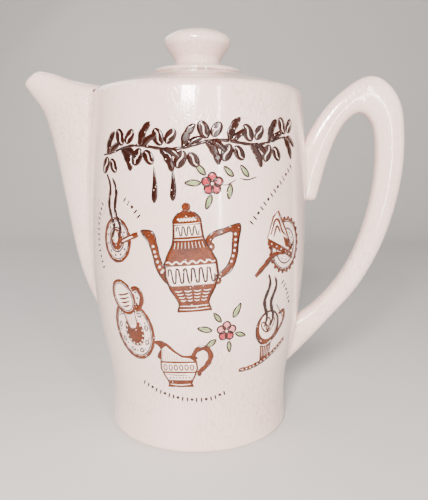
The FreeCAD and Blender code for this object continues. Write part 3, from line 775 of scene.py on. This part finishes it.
saucer.stroke([(-3.6, 12.0), (-3.0, 5.6), (-1.2, 1.0), (2.8, 1.0), (4.4, 5.6), (4.4, 12.0)], 0.8, "brown")
saucer.fill(oval((-0.6, 19.0), 7.4, 9.6, 22), "cream")
saucer.stroke(oval((-0.6, 19.0), 7.4, 9.6, 22), 1.7, "brown", closed=True)
saucer.stroke(oval((-0.6, 19.0), 6.0, 8.2, 22), 0.55, "dark", closed=True)
for number in range(4):
    height = 20.6 - 2.2 * number
    reach = 4.4 - 0.5 * number
    saucer.stroke([(-reach, height), (0, height - 0.4), (reach, height)], 1.0, "brown")
saucer.stroke([(5.6, 22.0), (10.6, 22.4), (12.6, 17.4), (9.6, 12.0), (6.0, 10.6)], 2.8, "brown", ends=0.7)
for at in ((9.2, 20.4), (9.6, 17.2), (8.0, 14.2)):
    saucer.dot(at, 0.6, above=2)
print("marks", len(saucer.marks))

# %% Cream jug
JUG_PROFILE = ((-13.6, 8.6), (-10.8, 7.6), (-7.0, 10.0), (-2.0, 12.0), (3.0, 11.2), (9.0, 9.4))
jug = Picture("print_jug", (-10.6, 53.6), lean=3.0)
jug.stroke([(8.6, 4.4), (12.0, 9.0), (17.0, 9.6), (19.6, 4.6), (16.6, -1.0), (11.4, -5.0)],
           3.2, "brown", ends=0.6)
jug.dot((9.6, 3.8), 1.6, "brown")
jug.dot((12.4, -5.6), 1.5, "brown")
jug.fill(band(JUG_PROFILE, -13.6, 4.0, rows=9), "brown", smooth=False)
jug.fill([(-11.6, 3.4), (-10.2, 10.0), (-14.0, 13.4), (-9.0, 14.6), (-4.6, 12.4), (-1.0, 8.8),
          (3.6, 6.0), (9.6, 5.8), (10.8, 3.2)], "brown")
jug.over()
jug.fill([(-10.2, 2.4), (-9.2, 9.6), (-6.6, 11.4), (-2.6, 8.0), (2.6, 4.6), (7.6, 3.9), (9.6, 2.2)],
         "cream", smooth=False)
jug.fill(band(JUG_PROFILE, -4.0, 1.2, inset=1.1, rows=4), "cream", smooth=False)
jug.fill(band(JUG_PROFILE, -9.2, -5.0, inset=1.2, rows=4), "cream", smooth=False)
for number in range(13):
    across = -9.0 + 1.4 * number
    top = 9.8 - 0.85 * max(0.0, number - 1.5)
    jug.stroke([(across, 2.6), (across, max(3.9, top))], 0.6, "brown", smooth=False)
for number in range(6):
    jug.stroke(oval((-8.4 + 3.3 * number, -1.4), 1.0, 1.6), 0.7, "brown", closed=True)
for number in range(7):
    jug.dot((-6.0 + 2.0 * number, -7.6), 0.5)
jug.stroke([(-8.0, -5.8), (0, -6.2), (8.0, -5.8)], 0.5, "dark")
jug.stroke([(-6.6, -11.8), (0, -12.2), (6.6, -11.8)], 0.6, "cream")
print("marks", len(jug.marks))

# %% Footed cup with steam
footed = Picture("print_footed_cup_marks", (44.6, 70.0), lean=0.0)
footed.fill([(-4.4, -5.0), (-2.8, -18.0), (5.4, -16.0), (4.8, -4.0)], "brown", smooth=False)
footed.fill(oval((0.6, 1.6), 9.0, 10.0), "brown")
footed.over()
footed.fill(oval((1.0, 2.8), 7.2, 8.0), "cream")
for number in range(5):
    across = -2.6 + 1.6 * number
    footed.stroke([(across, -9.6), (across * 0.8 + 0.6, -15.4)], 0.6, "cream", smooth=False)
for lean in (62, 98, 134):
    turn = math.radians(lean)
    petal = (1.0 + 4.2 * math.cos(turn), -1.4 + 5.2 * math.sin(turn))
    footed.stroke(oval(petal, 4.0, 1.7, lean), 0.9, "brown", closed=True)
footed.stroke(oval((0.6, 1.6), 9.0, 10.0), 0.8, "dark", closed=True)
footed.stroke([(-5.0, -7.4), (0.2, -8.6), (5.4, -6.6)], 1.0, "cream")
footed.stroke([(8.4, 8.6), (13.6, 9.4), (14.2, 4.0), (9.8, -2.4), (7.0, -5.2)], 2.4, "brown", ends=0.7)
footed.stroke([(5.6, 14.6), (10.0, 9.4), (14.6, 4.2)], 0.7, "dark")
BAR = [(-17.6, -21.2), (-9.0, -20.6), (2.0, -17.6), (12.4, -12.6), (19.6, -8.4)]
footed.stroke(BAR, 2.9, "brown", ends=0.8)
footed.over()
spots_along(footed, BAR, 0.55, 2.6, "cream")
steam(footed, (-0.4, 2.6), 30.0, lean=0.6)
print("marks", len(footed.marks))

# %% [markdown]
# ## Flowers and leaves
#
# Each flower is five rounded petals with a thin dark edge and a pale eye. The leaves are outlined
# lens shapes with one midrib, set by a small list of places and directions.

# %% Flower and leaf marks
def leaf_mark(picture, root, long, lean, ink="leaf"):
    """A pointed leaf that starts at root and leans by so many degrees."""
    turn = math.radians(lean)
    way = Vector((math.cos(turn), math.sin(turn)))
    side = Vector((-way.y, way.x)) * (long * 0.17)
    root = Vector(root)
    outline = [root, root + way * long * 0.3 + side, root + way * long * 0.65 + side * 0.9,
               root + way * long, root + way * long * 0.65 - side * 0.9, root + way * long * 0.3 - side]
    picture.fill(outline, ink)
    picture.stroke(outline, 0.85, "dark", closed=True)
    picture.stroke([root + way * long * 0.12, root + way * long * 0.8], 0.5, "dark", smooth=False)


def flower_mark(picture, centre, radius, inks):
    """Five petals round an eye; inks gives one colour to each petal."""
    centre = Vector(centre)
    for number, ink in enumerate(inks):
        turn = math.radians(90 + 72 * number)
        middle = centre + Vector((math.cos(turn), math.sin(turn))) * radius * 0.58
        petal = oval(middle, radius * 0.46, radius * 0.42, 90 + 72 * number, 12)
        picture.fill(petal, ink)
        picture.stroke(petal, 0.9, "dark", closed=True)
    picture.dot(centre, radius * 0.24, "dark", above=2)
    picture.dot(centre, radius * 0.15, "cream", above=3)


upper_flower = Picture("print_upper_flower", (9.0, 151.6))
flower_mark(upper_flower, (0, 0), 5.4, ("petal",) * 5)
for root, long, lean in (((-6.0, 0.4), 8.0, 180), ((-3.6, 4.4), 7.6, 132), ((-0.6, -5.6), 7.6, 250),
                         ((11.0, 3.6), 7.0, 135), ((19.6, 3.4), 7.2, 128), ((9.6, -0.4), 7.4, 262)):
    leaf_mark(upper_flower, root, long, lean)
upper_flower.stroke([(5.4, -0.6), (8.2, -0.4), (12.6, 2.0)], 0.6, "dark")
upper_flower.stroke([(14.6, 2.6), (19.0, 1.8), (24.4, 3.2)], 0.7, "dark")
lower_flower = Picture("print_lower_flower", (17.4, 73.4))
flower_mark(lower_flower, (0, 0), 5.3, ("blush", "blush", "petal", "petal", "blush"))
for root, long, lean in (((-3.4, 5.4), 6.6, 128), ((3.6, 7.6), 8.4, 62), ((-8.4, 0.8), 8.0, 170),
                         ((-6.0, -4.6), 7.6, 218), ((1.6, -6.0), 6.4, 278), ((5.4, -1.6), 6.6, 342)):
    leaf_mark(lower_flower, root, long, lean)
print("marks", len(upper_flower.marks), len(lower_flower.marks))

# %% [markdown]
# ## The heading garland
#
# Round the top runs a bold garland: coffee beans, brush leaves and hanging pods in the same dark
# speckled brown. A bean is an oval with a pale S-shaped cleft. The garland follows one gentle arc
# across the front, and a short list says what hangs where.

# %% Draw the garland
def bean_mark(picture, centre, long, lean):
    """A coffee bean with its cleft."""
    outline = oval(centre, long * 0.5, long * 0.34, lean, 18)
    picture.fill(outline, "dark")
    turn = math.radians(lean)
    way = Vector((math.cos(turn), math.sin(turn)))
    side = Vector((-way.y, way.x))
    centre = Vector(centre)
    cleft = [centre + way * long * share + side * long * bend
             for share, bend in ((-0.4, -0.02), (-0.2, 0.06), (0.0, 0.0), (0.2, -0.06), (0.4, 0.02))]
    picture.stroke(cleft, long * 0.08, "cream", ends=0.5, above=2)


def brush_leaf(picture, root, tip, width):
    """One bold tapering brush stroke."""
    root = Vector(root)
    tip = Vector(tip)
    across = Vector((-(tip - root).y, (tip - root).x)) * 0.10
    picture.stroke([root, root.lerp(tip, 0.4) + across, root.lerp(tip, 0.75) + across * 0.8, tip],
                   width, "dark", ends=0.2)


def arc_height(along):
    """Height of the garland's stem: it climbs gently towards the handle."""
    return 171.0 + 0.055 * along + 1.6 * math.sin(along * 0.14)


garland = Picture("print_garland_marks", (0, 0))
stem = [(-58 + 6 * step, arc_height(-58 + 6 * step)) for step in range(20)]
garland.stroke(stem, 1.8, "dark", ends=0.4)
for number in range(10):
    along = -54 + 12 * number
    height = arc_height(along)
    up = 1 if number % 2 == 0 else -1
    brush_leaf(garland, (along, height), (along + 6.4, height + up * 11.6), 4.4)
    brush_leaf(garland, (along + 2.0, height), (along + 10.2, height + up * 5.0), 3.6)
    bean_mark(garland, (along - 1.4, height - up * 5.8), 9.6, 66 * up)
    bean_mark(garland, (along + 5.4, height - up * 6.0), 8.6, -56 * up)
for along, drop in ((-21.0, 19.0), (-11.0, 17.0)):
    foot = arc_height(along) - 9.0
    garland.fill([(along - 0.4, foot), (along + 1.6, foot - drop * 0.55), (along + 1.2, foot - drop * 0.9),
                  (along - 0.4, foot - drop), (along - 1.8, foot - drop * 0.85),
                  (along - 1.2, foot - drop * 0.45)], "dark")
print("marks", len(garland.marks))

# %% [markdown]
# ## Dotted sprays between the pictures
#
# Thin rows of dots and short dashes curve round the small pictures and tie them together. They
# were dabbed on with a fine brush, so each one is a tiny raised pill of ink. Geometry Nodes suits
# this: the script only says where each dab sits, which way the wall faces there and which way the
# row runs, and one small node group turns all of them into pills of a stated size.

# %% Node group that turns points into dabs of ink
def build_dab_group():
    """Instance a flattened ball on each point: long for a dash, round for a dot."""
    tree = bpy.data.node_groups.new("dabs_of_ink", "GeometryNodeTree")
    tree.interface.new_socket("Points", in_out="INPUT", socket_type="NodeSocketGeometry")
    for name, default in (("Dash Length", 3.4 * MM), ("Dash Width", 0.95 * MM),
                          ("Dot Size", 1.8 * MM), ("Relief", 0.2 * MM)):
        socket = tree.interface.new_socket(name, in_out="INPUT", socket_type="NodeSocketFloat")
        socket.default_value = default
    tree.interface.new_socket("Ink", in_out="INPUT", socket_type="NodeSocketMaterial")
    tree.interface.new_socket("Dabs", in_out="OUTPUT", socket_type="NodeSocketGeometry")
    given = tree.nodes.new("NodeGroupInput").outputs
    ball = add_node(tree, "GeometryNodeMeshUVSphere", None, {
        "Segments": 12, "Rings": 6, "Radius": 0.5}).outputs["Mesh"]
    read = {}
    for name, kind in (("facing", "FLOAT_VECTOR"), ("across", "FLOAT_VECTOR"), ("dot", "FLOAT")):
        read[name] = add_node(tree, "GeometryNodeInputNamedAttribute", {"data_type": kind}, {
            "Name": name}).outputs["Attribute"]
    upright = add_node(tree, "FunctionNodeAlignRotationToVector", {"axis": "Z"}, {
        "Vector": read["facing"]}).outputs["Rotation"]
    turned = add_node(tree, "FunctionNodeAlignRotationToVector", {"axis": "Y", "pivot_axis": "Z"}, {
        "Rotation": upright, "Vector": read["across"]}).outputs["Rotation"]
    width = add_node(tree, "ShaderNodeMapRange", None, {
        "Value": read["dot"], "To Min": given["Dash Width"], "To Max": given["Dot Size"]})
    length = add_node(tree, "ShaderNodeMapRange", None, {
        "Value": read["dot"], "To Min": given["Dash Length"], "To Max": given["Dot Size"]})
    scale = add_node(tree, "ShaderNodeCombineXYZ", None, {
        "X": width.outputs["Result"], "Y": length.outputs["Result"], "Z": given["Relief"]})
    dabs = add_node(tree, "GeometryNodeInstanceOnPoints", None, {
        "Points": given["Points"], "Instance": ball, "Rotation": turned,
        "Scale": scale.outputs["Vector"]}).outputs["Instances"]
    real = add_node(tree, "GeometryNodeRealizeInstances", None, {"Geometry": dabs})
    smooth = add_node(tree, "GeometryNodeSetShadeSmooth", None, {
        "Geometry": real.outputs["Geometry"]})
    inked = add_node(tree, "GeometryNodeSetMaterial", None, {
        "Geometry": smooth.outputs["Geometry"], "Material": given["Ink"]})
    result = tree.nodes.new("NodeGroupOutput")
    tree.links.new(inked.outputs["Geometry"], result.inputs["Dabs"])
    return tree


dab_group = build_dab_group()
print("group", dab_group.name)

# %% Run nodes on a mesh and keep the result
def run_nodes(mesh, tree, values, name):
    """Apply a geometry node group to a mesh and return the finished object."""
    host = bpy.data.objects.new(f"{name}_host", mesh)
    bpy.context.collection.objects.link(host)
    modifier = host.modifiers.new("nodes", "NODES")
    modifier.node_group = tree
    for socket in tree.interface.items_tree:
        if socket.item_type == "SOCKET" and socket.in_out == "INPUT" and socket.name in values:
            modifier[socket.identifier] = values[socket.name]
    bpy.context.view_layer.update()
    made = bpy.data.meshes.new_from_object(host.evaluated_get(bpy.context.evaluated_depsgraph_get()))
    made.name = name
    bpy.data.objects.remove(host)
    piece = bpy.data.objects.new(name, made)
    bpy.context.collection.objects.link(piece)
    return piece


print("node runner ready")

# %% Lay out the sprays
DAB_GAP = 2.9
DAB_LIFT = 0.08
dab_places = []


def spray(path):
    """Two dashes and a dot in turn, at even gaps along a flat path on the wall."""
    travelled = DAB_GAP
    turn = 0
    points = curve_through(path, step=0.35)
    for before, after in zip(points, points[1:]):
        travelled += (after - before).length
        if travelled < DAB_GAP:
            continue
        travelled = 0.0
        turn += 1
        way = (after - before).normalized()
        side = after + Vector((-way.y, way.x))
        here = on_wall(after.x, after.y, DAB_LIFT)
        across = on_wall(side.x, side.y, DAB_LIFT) - here
        facing = Vector((here.x, here.y, 0.0)).normalized()
        dab_places.append((here, facing, across.normalized(), 0.0 if turn % 3 else 1.0))


spray([(-60.0, 104.0), (-64.5, 116.0), (-64.0, 130.0), (-59.0, 140.0)])
spray([(-40.0, 143.0), (-34.5, 139.0), (-30.5, 134.5)])
spray([(30.0, 131.0), (40.0, 142.0), (50.0, 151.0), (60.0, 160.0)])
spray([(54.0, 97.0), (59.0, 91.0), (64.0, 82.0)])
spray([(-36.0, 40.5), (-24.0, 36.0), (-8.0, 33.0), (8.0, 33.0), (20.0, 36.5)])
seeds = bpy.data.meshes.new("dab_seeds")
seeds.from_pydata([place[0] for place in dab_places], [], [])
for column, name in ((1, "facing"), (2, "across")):
    layer = seeds.attributes.new(name, "FLOAT_VECTOR", "POINT")
    for index, place in enumerate(dab_places):
        layer.data[index].vector = place[column]
layer = seeds.attributes.new("dot", "FLOAT", "POINT")
for index, place in enumerate(dab_places):
    layer.data[index].value = place[3]
sprays = run_nodes(seeds, dab_group, {"Ink": INKS["dark"]}, "print_sprays")
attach(sprays, POT)
print("dabs", len(dab_places), "faces", len(sprays.data.polygons))

# %% Put every print on the pot
def put_on_pot(picture, node):
    """Build a picture in place of its frame node and let it ride on the pot."""
    piece = picture.build()
    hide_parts(node)
    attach(piece, POT)
    return len(piece.data.polygons)


faces = {
    "pot": put_on_pot(pot_picture, "print_coffee_pot"),
    "cup": put_on_pot(cup_above, "print_steaming_cup"),
    "cake": put_on_pot(cake, "print_cake_plate"),
    "saucer": put_on_pot(saucer, "print_cup_and_saucer"),
    "jug": put_on_pot(jug, "print_cream_jug"),
    "footed cup": put_on_pot(footed, "print_footed_cup"),
    "upper flower": put_on_pot(upper_flower, "print_flower_upper"),
    "lower flower": put_on_pot(lower_flower, "print_flower_lower"),
    "garland": put_on_pot(garland, "print_garland"),
}
print("faces", faces)

# %% [markdown]
# ## Slip at the joints
#
# The spout and the handle were cast apart and stuck to the barrel with liquid clay, called slip.
# The potter wipes the joint with a wet brush, which leaves a small hollow bead all the way round
# it. The bead's path is the line where the piece meets the wall, so it is found from the solids:
# faces that lie on the wall on one side, free faces on the other. A hollow curve from wall to
# piece, carried once round that line, makes the bead. Slip puddles at the top of a joint, so the
# bead grows there to twice its size.

# %% Find the line where a piece meets the wall
JOINT_STEP = 1.2 * MM
TOUCHING = 0.12 * MM
TOP_PUDDLE = 9.0 * MM
EDGE_BURIED = 0.05 * MM
CORNER_BURIED = 0.4 * MM


def joined_faces(node):
    """A node's mesh as bmesh, with the faces that lie on the barrel's wall."""
    solid = bmesh.new()
    solid.from_mesh(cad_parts[node].data)
    bmesh.ops.remove_doubles(solid, verts=solid.verts, dist=0.002 * MM)
    touching = set()
    for face in solid.faces:
        away = wall.find_nearest(face.calc_center_median())[3]
        if away < TOUCHING:
            touching.add(face)
    return solid, touching


def longest_loop(edges):
    """The longest closed chain of edges, as a list of points in an order that never changes."""
    beside = {}
    for edge in edges:
        for vertex in edge.verts:
            beside.setdefault(vertex, []).append(edge.other_vert(vertex))
    left = dict.fromkeys(beside)
    best = []
    while left:
        chain = [next(iter(left))]
        del left[chain[0]]
        while True:
            onward = [vertex for vertex in beside[chain[-1]] if vertex in left]
            if not onward:
                break
            chain.append(onward[0])
            del left[onward[0]]
        if len(chain) > len(best):
            best = chain
    return [vertex.co.copy() for vertex in best]


def even_loop(points, step):
    """Points at even steps round a closed chain, lightly smoothed."""
    ring = points + points[:1]
    lengths = [(b - a).length for a, b in zip(ring, ring[1:])]
    total = sum(lengths)
    count = max(12, round(total / step))
    even = []
    index = 0
    passed = 0.0
    for number in range(count):
        target = total * number / count
        while passed + lengths[index] < target:
            passed += lengths[index]
            index += 1
        even.append(ring[index].lerp(ring[index + 1], (target - passed) / max(lengths[index], 1e-9)))
    for _ in range(2):
        even = [(even[i - 1] + even[i] * 2 + even[(i + 1) % count]) / 4 for i in range(count)]
    return even


print("joint step", JOINT_STEP)

# %% Lay the bead of slip
def add_slip(node, radius):
    """A hollow bead of slip round one piece's joint, as a closed ring that rides on the pot."""
    solid, touching = joined_faces(node)
    rim = [edge for edge in solid.edges
           if len([face for face in edge.link_faces if face in touching]) == 1]
    path = even_loop(longest_loop(rim), JOINT_STEP)
    bmesh.ops.delete(solid, geom=list(touching), context="FACES_ONLY")
    side_tree = BVHTree.FromBMesh(solid)
    top = max(corner.z for corner in path)
    sections = []
    for corner in path:
        reach = radius * (1 + max(0.0, 1 - (top - corner.z) / TOP_PUDDLE))
        wall_point, wall_way, _, _ = wall.find_nearest(corner)
        on_side, side_way, _, _ = side_tree.find_nearest(corner + wall_way * reach)
        off = (side_way - wall_way * side_way.dot(wall_way)).normalized()
        on_base, _, _, _ = wall.find_nearest(wall_point + off * reach)
        bead = []
        for share in (0.0, 0.2, 0.4, 0.6, 0.8, 1.0):
            rest = 1 - share
            bead.append(on_base * rest * rest + wall_point * 2 * share * rest + on_side * share * share)
        bead[0] = bead[0] - wall_way * EDGE_BURIED
        bead[-1] = bead[-1] - side_way * EDGE_BURIED
        bead.append(wall_point - (wall_way + off) * CORNER_BURIED)
        sections.append(bead)
    solid.free()
    size = len(sections[0])
    mesh = bpy.data.meshes.new(f"slip_{node}")
    faces = []
    for turn in range(len(sections)):
        onward = (turn + 1) % len(sections)
        for index in range(size):
            beside = (index + 1) % size
            faces.append((turn * size + index, turn * size + beside,
                          onward * size + beside, onward * size + index))
    mesh.from_pydata([point for bead in sections for point in bead], [], faces)
    tidy = bmesh.new()
    tidy.from_mesh(mesh)
    bmesh.ops.recalc_face_normals(tidy, faces=tidy.faces)
    if tidy.calc_volume(signed=True) < 0:
        bmesh.ops.reverse_faces(tidy, faces=tidy.faces)
    tidy.to_mesh(mesh)
    tidy.free()
    for face in mesh.polygons:
        face.use_smooth = True
    mesh.materials.append(body_glaze)
    piece = bpy.data.objects.new(f"slip_{node}", mesh)
    bpy.context.collection.objects.link(piece)
    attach(piece, POT)
    return len(path)


for node, radius in (("spout", 2.2 * MM), ("handle", 1.6 * MM)):
    print("slip", node, "sections", add_slip(node, radius))

# %% [markdown]
# ## Camera, floor and lights
#
# The camera looks along +Y from a little above the pot's middle and tips down nine degrees. The
# floor is one pale sheet that curves up behind the pot, so no horizon line shows. One big soft
# light does most of the work, and narrower ones draw the tall highlights down the glaze.

# %% Camera
def aim(thing, target):
    """Turn a light or camera so that it looks at a point."""
    way = Vector(target) - thing.location
    thing.rotation_euler = way.to_track_quat("-Z", "Y").to_euler()


CAMERA_PLACE = (0.0097, -0.3475, 0.1626)
CAMERA_DIP = 9.0
camera_data = bpy.data.cameras.new("camera")
camera_data.sensor_fit = "VERTICAL"
camera_data.sensor_height = 36.0
camera_data.lens = 40.2
camera_data.clip_start = 0.01
camera = bpy.data.objects.new("camera", camera_data)
bpy.context.collection.objects.link(camera)
camera.location = CAMERA_PLACE
camera.rotation_euler = (math.radians(90.0 - CAMERA_DIP), 0.0, 0.0)
bpy.context.scene.camera = camera
print("camera lens", camera_data.lens)

# %% Floor
def build_floor(reach=4.0, front=4.0, back=0.75, rise=2.5, bend=0.35, turns=16):
    """A sheet that lies flat under the pot and curves up behind it."""
    profile = [(-front, 0.0)]
    for step in range(turns + 1):
        turn = math.pi / 2 * step / turns
        profile.append((back + bend * math.sin(turn), bend * (1 - math.cos(turn))))
    profile.append((back + bend, rise))
    mesh = bpy.data.meshes.new("floor")
    points = [(side * reach, y, z) for y, z in profile for side in (-1, 1)]
    faces = [(2 * i, 2 * i + 1, 2 * i + 3, 2 * i + 2) for i in range(len(profile) - 1)]
    mesh.from_pydata(points, [], faces)
    for face in mesh.polygons:
        face.use_smooth = True
    floor = bpy.data.objects.new("floor", mesh)
    bpy.context.collection.objects.link(floor)
    material = bpy.data.materials.new("pale_floor")
    material.use_nodes = True
    shader = material.node_tree.nodes["Principled BSDF"]
    shader.inputs["Base Color"].default_value = colour(214, 211, 207)
    shader.inputs["Roughness"].default_value = 0.7
    mesh.materials.append(material)
    return floor


build_floor()
print("floor ready")

# %% Lights
def add_light(name, place, target, width, height, watts, tone=(1.0, 1.0, 1.0)):
    """A rectangular area light aimed at a point."""
    data = bpy.data.lights.new(name, "AREA")
    data.shape = "RECTANGLE"
    data.size = width
    data.size_y = height
    data.energy = watts
    data.color = tone
    light = bpy.data.objects.new(name, data)
    bpy.context.collection.objects.link(light)
    light.location = place
    aim(light, target)
    return light


pot_middle = (0.0, 0.0, POT_HEIGHT / 2)
add_light("key", (-0.12, -0.85, 0.5), pot_middle, 0.2, 0.2, 22.0, (1.0, 0.94, 0.91))
add_light("tall_window", (0.34, -0.83, 0.3), pot_middle, 0.04, 0.55, 3.5, (1.0, 0.97, 0.95))
add_light("fill", (0.9, -0.5, 0.45), pot_middle, 0.7, 0.8, 2.5)
add_light("back", (-0.6, 0.6, 0.8), pot_middle, 0.8, 0.6, 4.0)
world = bpy.data.worlds.new("soft_room")
world.use_nodes = True
world.node_tree.nodes["Background"].inputs["Color"].default_value = (0.95, 0.93, 0.92, 1.0)
world.node_tree.nodes["Background"].inputs["Strength"].default_value = 0.26
bpy.context.scene.world = world
